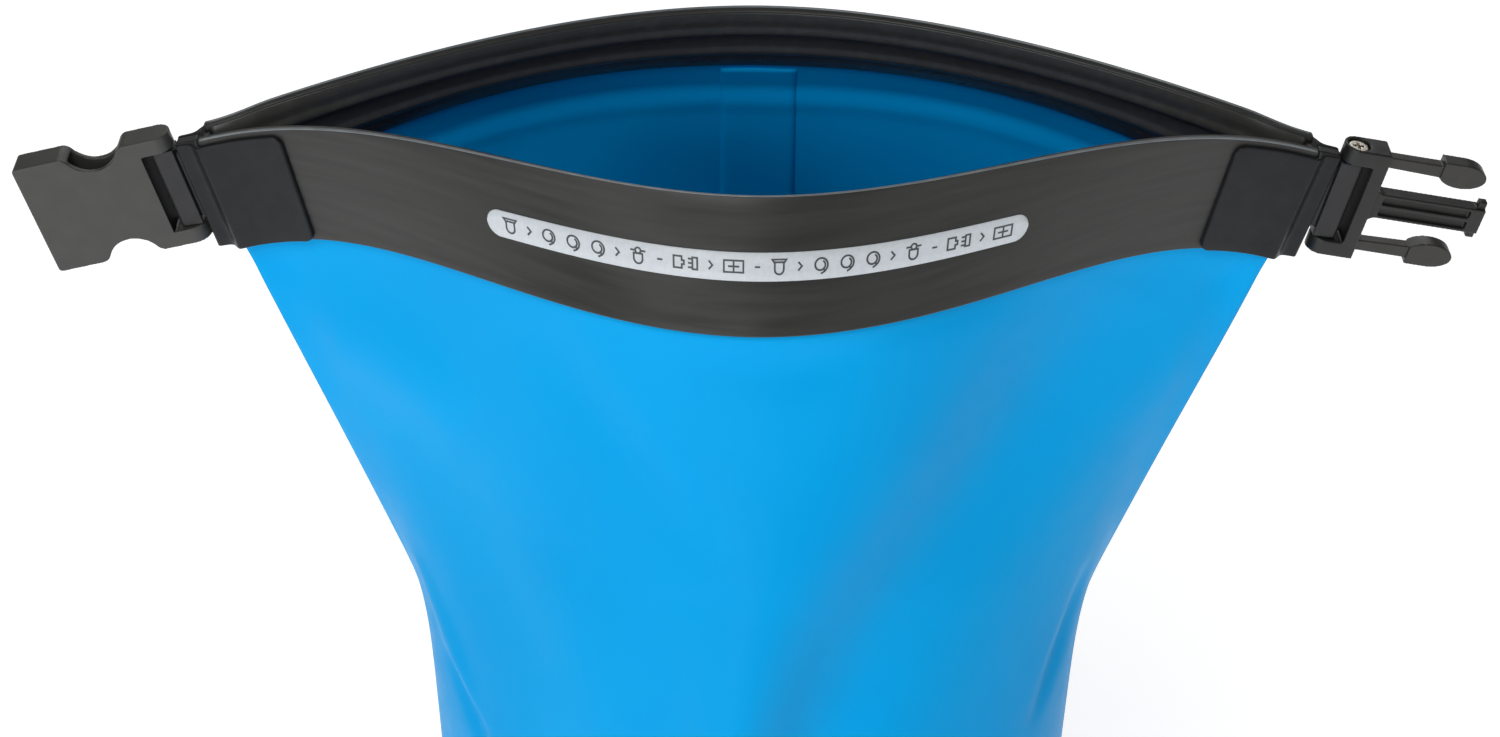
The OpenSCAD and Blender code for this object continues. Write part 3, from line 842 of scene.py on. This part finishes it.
def build_seal(name, face):
    """Strip with two rounded ribs on the inner face of the sheet, thinned towards its top edge."""
    ribs, rib_w, steps = (0.3, 0.68), 5, 12
    top = 0.5
    points = [(top, 0), (top + 0.2, -0.12), (top + 1.2, -SEAL_T * 0.5), (top + 2.2, -SEAL_T * 0.86),
              (top + 3.2, -SEAL_T)]
    for rib in ribs:
        for i in range(steps + 1):
            x = i / steps - 0.5
            swell = (0.5 + 0.5 * math.cos(2 * math.pi * x)) ** 0.8
            points.append((top + rib * SEAL_H + x * rib_w, -SEAL_T - RIB_T * swell))
    points += [(top + SEAL_H - 0.4, -SEAL_T), (top + SEAL_H, -SEAL_T + 0.3), (top + SEAL_H, 0)]
    points += [(top + SEAL_H * f, 0) for f in (0.8, 0.6, 0.4, 0.2)]
    end = 1 - SEAL_INSET
    strip = band_strip(name + "_rubber", face, -end, end, 240, np.array(points), MATERIALS["seal"])
    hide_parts(name)
    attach(strip, "closure")


def build_rim(name, face):
    """Rounded bead along a band's top edge, painted lighter than its faces as a highlight."""
    r, below_top, inside, end = 0.42, 0.12, 0.5, 0.998
    turns = np.linspace(0, 2 * math.pi, 12, endpoint=False)
    circle = [(below_top + r * math.cos(a), BAND_OUT - inside + r * math.sin(a)) for a in turns]
    # the bead gets the light grey painted highlight material
    rim = band_strip(name, face, -end, end, 200, np.array(circle), MATERIALS["rim"])
    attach(rim, "closure")


# the sheet was cut as a rectangle: once round the bag, and from the base up to the bands' top
cut_length()[-1] * MM
build_rim("front_band_rim", FRONT)
build_rim("rear_band_rim", REAR)
build_band("front_band", FRONT)
build_band("rear_band", REAR)
build_seal("front_seal_strip", FRONT)
build_seal("rear_seal_strip", REAR)


def joined(parts, name):
    """The parts as one object."""
    bpy.ops.object.select_all(action="DESELECT")
    for part in parts:
        part.select_set(True)
    bpy.context.view_layer.objects.active = parts[0]
    bpy.ops.object.join()
    parts[0].name = name
    return parts[0]


def end_point(o, y, v):
    """Point o mm beyond the right band end, v of the way down it, at depth y."""
    top, low = top_point(FRONT, 1.0), low_point(FRONT, 1.0)
    p = top + (low - top) * v
    return np.array([p[0] + o * math.cos(LEAN), y, p[2] - o * math.sin(LEAN)])


def build_tab(side):
    """Two moulded leaves, welded over the band ends and drawn together at the neck."""
    name = "left_tab" if side == LEFT else "right_tab"
    tab = joined([tab_leaf(FRONT, side), tab_leaf(REAR, side), end_web(side)], name + "_leaves")
    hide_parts(name)
    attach(tab, "closure")


def end_web(side):
    """Web between the two leaves, round the closed end of the mouth."""
    near, far, half, r = -2.2, 1.7, 4.4, 0.8
    # [share of the way down, mm by which the section shrinks there]
    places = [(0.035, 0.5), (0.045, 0.15), (0.06, 0)]
    places += [(v, 0) for v in np.linspace(0.1, 0.94, 8)]
    places += [(0.965, 0.15), (0.98, 0.5)]
    rings = []
    for v, shrink in places:
        section = rounded_profile(near + shrink, far - shrink, -half + shrink, half - shrink, r, across=3)
        rings.append([end_point(o, y, v) for o, y in section])
    return mirrored_skin("web", rings, side)


def mirrored_skin(name, rings, side):
    """Solid of a right tab, or its mirror image for the left one."""
    rings = np.array(rings)
    if side == LEFT:
        rings[..., 0] *= -1
    return skinned(name, rings, MATERIALS["tab"])


def tab_leaf(face, side):
    """Leaf over a band's end, which steps in beyond it to lie along the knuckle's tongue."""
    corner, edge_r = 3.2, 0.55
    v0 = 0.04 * BAND_H
    fold = HALF_GAP + BAND_OUT
    neck_in = TONGUE_T / 2
    across = 10
    # [distance beyond the band's end, inner depth, outer depth]
    neck = smooth_path([(0, fold, fold + TAB_T), (0.6, fold - 0.2, fold + TAB_T - 0.1),
                        (1.2, HALF_GAP + 0.3, fold + TAB_T - 0.6),
                        (1.8, neck_in, neck_in + TAB_T + 2.2), (2.8, neck_in, neck_in + TAB_T + 0.9),
                        (4.0, neck_in, neck_in + TAB_T + 0.3), (5.6, neck_in, neck_in + TAB_T + 0.1),
                        (7.2, neck_in, neck_in + TAB_T), (NECK_LEN, neck_in, neck_in + TAB_T - 0.5)], 4)

    def ring(place, top, low, t):
        """Section across the leaf, t thick, with round edges; place turns its [mm down, d] into points."""
        r = min(edge_r, t * 0.48)
        section = rounded_profile(top, low, 0, t, r, steps=4, across=across)
        return [place(v, d) for v, d in section]

    rings = []
    round_end = [0.02, 0.1, 0.25, 0.45, 0.7, 1.0, 1.4, 1.9, 2.5, 3.2]
    for a in np.concatenate([round_end, np.linspace(4.2, TAB_LEN, 22)]):
        k = 1 - (TAB_LEN - a) / HALF_ARC
        inset = corner - math.sqrt(max(corner**2 - max(corner - a, 0) ** 2, 0))
        t = TAB_T * math.sqrt(max(1 - (1 - min(a / 0.7, 1)) ** 2, 0.03))
        rings.append(ring(lambda v, d: layer_point(face, k, v / BAND_H, BAND_OUT + d),
                          v0 + inset, BAND_H - inset, t))
    for o, near, far in neck[1:]:
        rings.append(ring(lambda v, d: end_point(o, face * (near + d), v / BAND_H), v0, BAND_H, far - near))
    return mirrored_skin("leaf", rings, side)


build_tab(LEFT)
build_tab(RIGHT)


# ---- label ----

def label_grid(u, y, d):
    """Point on the label: u mm along it, y mm above its middle and d mm out from the band."""
    u, y = np.asarray(u, float), np.asarray(y, float)
    return layer_point(FRONT, u / HALF_ARC, 0.5 - y / BAND_H, np.full(np.shape(u), BAND_OUT + d, float))


def build_label():
    r, half = LABEL_H / 2, LABEL_LEN / 2
    tips = [math.radians(a) for a in (3, 12, 24, 36, 48, 60, 72, 84)]
    columns = [(-half + r - r * math.cos(a), math.sin(a)) for a in tips]
    columns += [(x, 1.0) for x in np.linspace(-half + r, half - r, 80)]
    columns += [(half - r + r * math.cos(a), math.sin(a)) for a in tips[::-1]]
    rings = []
    edge = 0.12
    for u, share in columns:
        h = r * share
        inner = h - min(edge, h * 0.3)
        ys = [-h, -inner, -h * 0.33, h * 0.33, inner, h, h, -h]
        ds = [LABEL_T - edge, LABEL_T, LABEL_T, LABEL_T, LABEL_T, LABEL_T - edge, 0, 0]
        rings.append([label_grid(u, y, d) for y, d in zip(ys, ds)])
    plate = skinned("label_plate", rings, MATERIALS["label"])
    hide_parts("label")
    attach(plate, "closure")


build_label()


# ---- pictograms on the label: how to close the bag ----

def arc(x, y, r, a0, a1, n=10):
    angles = [math.radians(a0 + (a1 - a0) * i / n) for i in range(n + 1)]
    return [(x + r * math.cos(a), y + r * math.sin(a)) for a in angles]


def loop(points):
    return [*points, points[0]]


# Each icon is a list of strokes, and each stroke a list of [x, y] points in mm.
OPEN_BAG = [arc(0, -0.7, 1.2, 180, 360) + [(1.2, 0.9), (1.9, 1.9), (-1.9, 1.9), (-1.2, 0.9), (-1.2, -0.7)],
            [(-1.35, 1.2), (1.35, 1.2)]]
ROLL = [[(x * (1 - t * 0.45), y * (1 - t * 0.45))
         for t, (x, y) in zip(np.linspace(0, 1, 29), arc(0, 0, 2, -60, 420, 28))],
        [(0.1, -2.3), (1.05, -1.75), (0.75, -0.75)]]
ROLLED_BAG = [arc(0, -0.8, 1.2, 180, 360) + [(1.2, 0.6), (-1.2, 0.6), (-1.2, -0.8)],
              loop(arc(0, 1.35, 0.75, 0, 360, 16)), [(-2.1, 1.35), (-0.75, 1.35)], [(0.75, 1.35), (2.1, 1.35)]]
CHEVRON = [[(-0.5, 1.1), (0.5, 0), (-0.5, -1.1)]]
OPEN_CLIP = [loop([(-3.2, -1.5), (-1, -1.5), (-1, -0.5), (-0.4, -0.5), (-0.4, 0.5), (-1, 0.5), (-1, 1.5),
                   (-3.2, 1.5)]),
             [(0.7, 1.1), (1.9, 1.1)], [(0.7, -1.1), (1.9, -1.1)], [(0.7, 0), (1.9, 0)],
             loop([(1.9, -1.5), (3.2, -1.5), (3.2, 1.5), (1.9, 1.5)])]
SHUT_CLIP = [loop([(-2.6, -1.5), (2.6, -1.5), (2.6, 1.5), (-2.6, 1.5)]),
             [(0, -1.5), (0, 1.5)], [(-1.5, 0), (1.5, 0)]]
DASH = [[(-0.7, 0), (0.7, 0)]]
# The icons in order, each with the width that it takes up.
STEPS = [(OPEN_BAG, 4), (CHEVRON, 1), (ROLL, 4), (ROLL, 4), (ROLL, 4), (CHEVRON, 1), (ROLLED_BAG, 4.4),
         (DASH, 1.4), (OPEN_CLIP, 6.4), (CHEVRON, 1), (SHUT_CLIP, 5.2)]


def stroke_sides(path, half_width):
    """Points to the left and the right of a stroke, mitred at its corners."""
    p = np.array(path, float)
    p = p[np.concatenate([[True], np.linalg.norm(np.diff(p, axis=0), axis=1) > 1e-6])]
    closed = np.allclose(p[0], p[-1])
    ahead = unit(np.vstack([p[1:], p[1:2] if closed else 2 * p[-1:] - p[-2:-1]]) - p)
    behind = unit(p - np.vstack([p[-2:-1] if closed else 2 * p[:1] - p[1:2], p[:-1]]))

    def leftwards(v):
        return np.stack([-v[:, 1], v[:, 0]], -1)

    side = leftwards(unit(ahead + behind))
    mitre = half_width / np.maximum(np.abs(np.sum(side * leftwards(ahead), -1)), 0.5)
    return p + side * mitre[:, None], p - side * mitre[:, None]


def build_pictograms():
    """Strokes of flat ink a hair above the label; they tell twice how to close the bag."""
    half_width, low, high, margin = 0.24, LABEL_T - 0.03, LABEL_T + 0.07, 10
    row = STEPS + [(DASH, 1.4)] + STEPS
    gap = (LABEL_LEN - margin - sum(w for _, w in row)) / (len(row) - 1)
    u, parts = -(LABEL_LEN - margin) / 2, []
    for icon, width in row:
        middle = u + width / 2
        for path in icon:
            rings = [[label_grid(middle + q[0], q[1], d) for q, d in ((a, low), (b, low), (b, high), (a, high))]
                     for a, b in zip(*stroke_sides(path, half_width))]
            parts.append(skinned("mark", rings, MATERIALS["ink"]))
        u += width + gap
    marks = joined(parts, "label_marks")
    marks.data.shade_flat()
    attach(marks, "closure")


build_pictograms()


# ---- moulded plastics: fine-meshed copies of the CAD nodes with soft edges ----

def moulded(node, name, body, material, voxel=0.25, rounds=5):
    """Copy of a CAD node, remeshed with voxels of that many mm, smoothed and thinned."""
    obj = frame["nodes"][node].copy()
    obj.data = obj.data.copy()
    obj.name = name
    obj.parent = None
    for key in list(obj.keys()):
        del obj[key]
    bpy.context.scene.collection.objects.link(obj)
    weld = obj.modifiers.new("weld", "WELD")
    weld.merge_threshold = 1e-6
    remesh = obj.modifiers.new("remesh", "REMESH")
    remesh.mode = "VOXEL"
    remesh.voxel_size = voxel * MM
    smooth = obj.modifiers.new("smooth", "SMOOTH")
    smooth.factor, smooth.iterations = 0.5, rounds
    thin = obj.modifiers.new("thin", "DECIMATE")
    thin.ratio = 0.25
    evaluated(obj)
    obj.data.materials.clear()
    obj.data.materials.append(material)
    obj.data.shade_smooth()
    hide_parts(node)
    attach(obj, body)
    return obj


def paint_slot_shade(obj, knuckle, side):
    """Paints the buckle's wall behind the knuckle, deep in the slot, near black as painted shade, with its own
    dull surface.
    """
    slot_depth, slack = 5, 0.3
    out = np.array([side * math.cos(LEAN), 0, -math.sin(LEAN)])
    down = np.array([-side * math.sin(LEAN), 0, -math.cos(LEAN)])
    points = np.array([v.co for v in frame["nodes"][knuckle].data.vertices])
    end, top, bottom = (points @ out).max(), (points @ down).min(), (points @ down).max()
    half = max(abs(v.co.y) for v in obj.data.vertices)
    # the faces deep in the slot get the painted shade material
    obj.data.materials.append(MATERIALS["gap"])
    for face in obj.data.polygons:
        at = np.array(face.center)
        faces_knuckle = np.array(face.normal) @ out < -0.7 and abs(at[1]) < half - 0.6 * MM
        behind = end - slack * MM < at @ out < end + slot_depth * MM
        level = top - MM < at @ down < bottom + MM
        if faces_knuckle and behind and level:
            face.material_index = 1


socket = moulded("socket_body", "socket_shell", "socket", MATERIALS["buckle"])
# painted shade on the socket's slot wall behind the knuckle
paint_slot_shade(socket, "left_knuckle", LEFT)
plug = moulded("plug_body", "plug_frame", "plug", MATERIALS["plug"])
# painted shade on the plug's slot wall behind the knuckle
paint_slot_shade(plug, "right_knuckle", RIGHT)
moulded("upper_prong", "upper_prong_arm", "upper_prong", MATERIALS["prong"], 0.2)
moulded("lower_prong", "lower_prong_arm", "lower_prong", MATERIALS["prong"], 0.2)
moulded("left_knuckle", "left_knuckle_insert", "closure", MATERIALS["knuckle"])
moulded("right_knuckle", "right_knuckle_insert", "closure", MATERIALS["knuckle"])
moulded("left_pin", "left_screw", "socket", MATERIALS["screw"], 0.1, 3)
moulded("right_pin", "right_screw", "plug", MATERIALS["screw"], 0.1, 3)


# ---- camera, floor and light: places and sizes in metres, power in watts ----

CAMERA_PLACE = (-0.00167, -0.5505, 0.8555)
CAMERA_PITCH = math.radians(38)         # below the horizon
CAMERA_ROLL = 0.01                      # in radians
LENS, SENSOR = 56.4, 36                 # in mm
FLOOR_HALF = 6.0
FLOOR_GLOW = 0.64
WORLD_LIGHT, WORLD_SEEN = 0.12, 1.0
LIGHTS = {
    # place, target, size, power
    "key": ((-1.15, -2.05, 0.85), (0, 0, 0.40), (1.3, 1.0), 12.5),
    "front": ((-0.55, -2.4, 0.42), (0, 0, 0.45), (0.9, 0.7), 4),
    "top": ((-0.45, -1.0, 1.9), (0, 0.03, 0.45), (1.0, 0.8), 15),
    "rim": ((0.0, 1.7, 1.6), (0, 0, 0.48), (2.2, 0.7), 10),
    "fill": ((1.6, -1.3, 1.1), (0, 0, 0.42), (1.2, 1.2), 3.5),
}


def camera():
    data = bpy.data.cameras.new("camera")
    data.sensor_width = SENSOR
    data.lens = LENS
    cam = bpy.data.objects.new("camera", data)
    cam.matrix_world = (Matrix.Translation(CAMERA_PLACE) @ Matrix.Rotation(math.pi / 2 - CAMERA_PITCH, 4, "X")
                        @ Matrix.Rotation(CAMERA_ROLL, 4, "Z"))
    bpy.context.scene.collection.objects.link(cam)
    bpy.context.scene.camera = cam


def floor():
    """Pale paper that glows a little, so that it stays even and shadows stay soft."""
    mesh = bpy.data.meshes.new("floor")
    half = FLOOR_HALF
    corners = [(-half, -half, 0), (half, -half, 0), (half, half, 0), (-half, half, 0)]
    mesh.from_pydata(corners, [], [[0, 1, 2, 3]])
    obj = bpy.data.objects.new("floor", mesh)
    bpy.context.scene.collection.objects.link(obj)
    s = Surface("floor_paper", (250, 250, 250), 0.9, Specular_IOR_Level=0.1, Emission_Color=(1, 1, 1, 1),
                Emission_Strength=FLOOR_GLOW)
    s.mottle(s.noise(40, 2), (248, 248, 248))
    mesh.materials.append(s.material)


def area_light(name, place, target, size, power):
    data = bpy.data.lights.new(name, "AREA")
    data.shape = "RECTANGLE"
    data.size, data.size_y = size
    data.energy = power
    obj = bpy.data.objects.new(name, data)
    obj.location = place
    obj.rotation_euler = (Vector(target) - Vector(place)).to_track_quat("-Z", "Y").to_euler()
    bpy.context.scene.collection.objects.link(obj)


def world(strength, seen):
    """Studio surroundings: they light the object with one strength and show behind it with another."""
    w = bpy.data.worlds.new("studio")
    w.use_nodes = True
    tree = w.node_tree
    background = tree.nodes["Background"]
    background.inputs["Color"].default_value = (1, 1, 1, 1)
    path = tree.nodes.new("ShaderNodeLightPath")
    level = tree.nodes.new("ShaderNodeMapRange")
    level.inputs["To Min"].default_value, level.inputs["To Max"].default_value = strength, seen
    tree.links.new(path.outputs["Is Camera Ray"], level.inputs["Value"])
    tree.links.new(level.outputs["Result"], background.inputs["Strength"])
    bpy.context.scene.world = w


camera()
floor()
world(WORLD_LIGHT, WORLD_SEEN)
for light, facts in LIGHTS.items():
    area_light(light, *facts)
bpy.context.scene.view_settings.view_transform = "Standard"
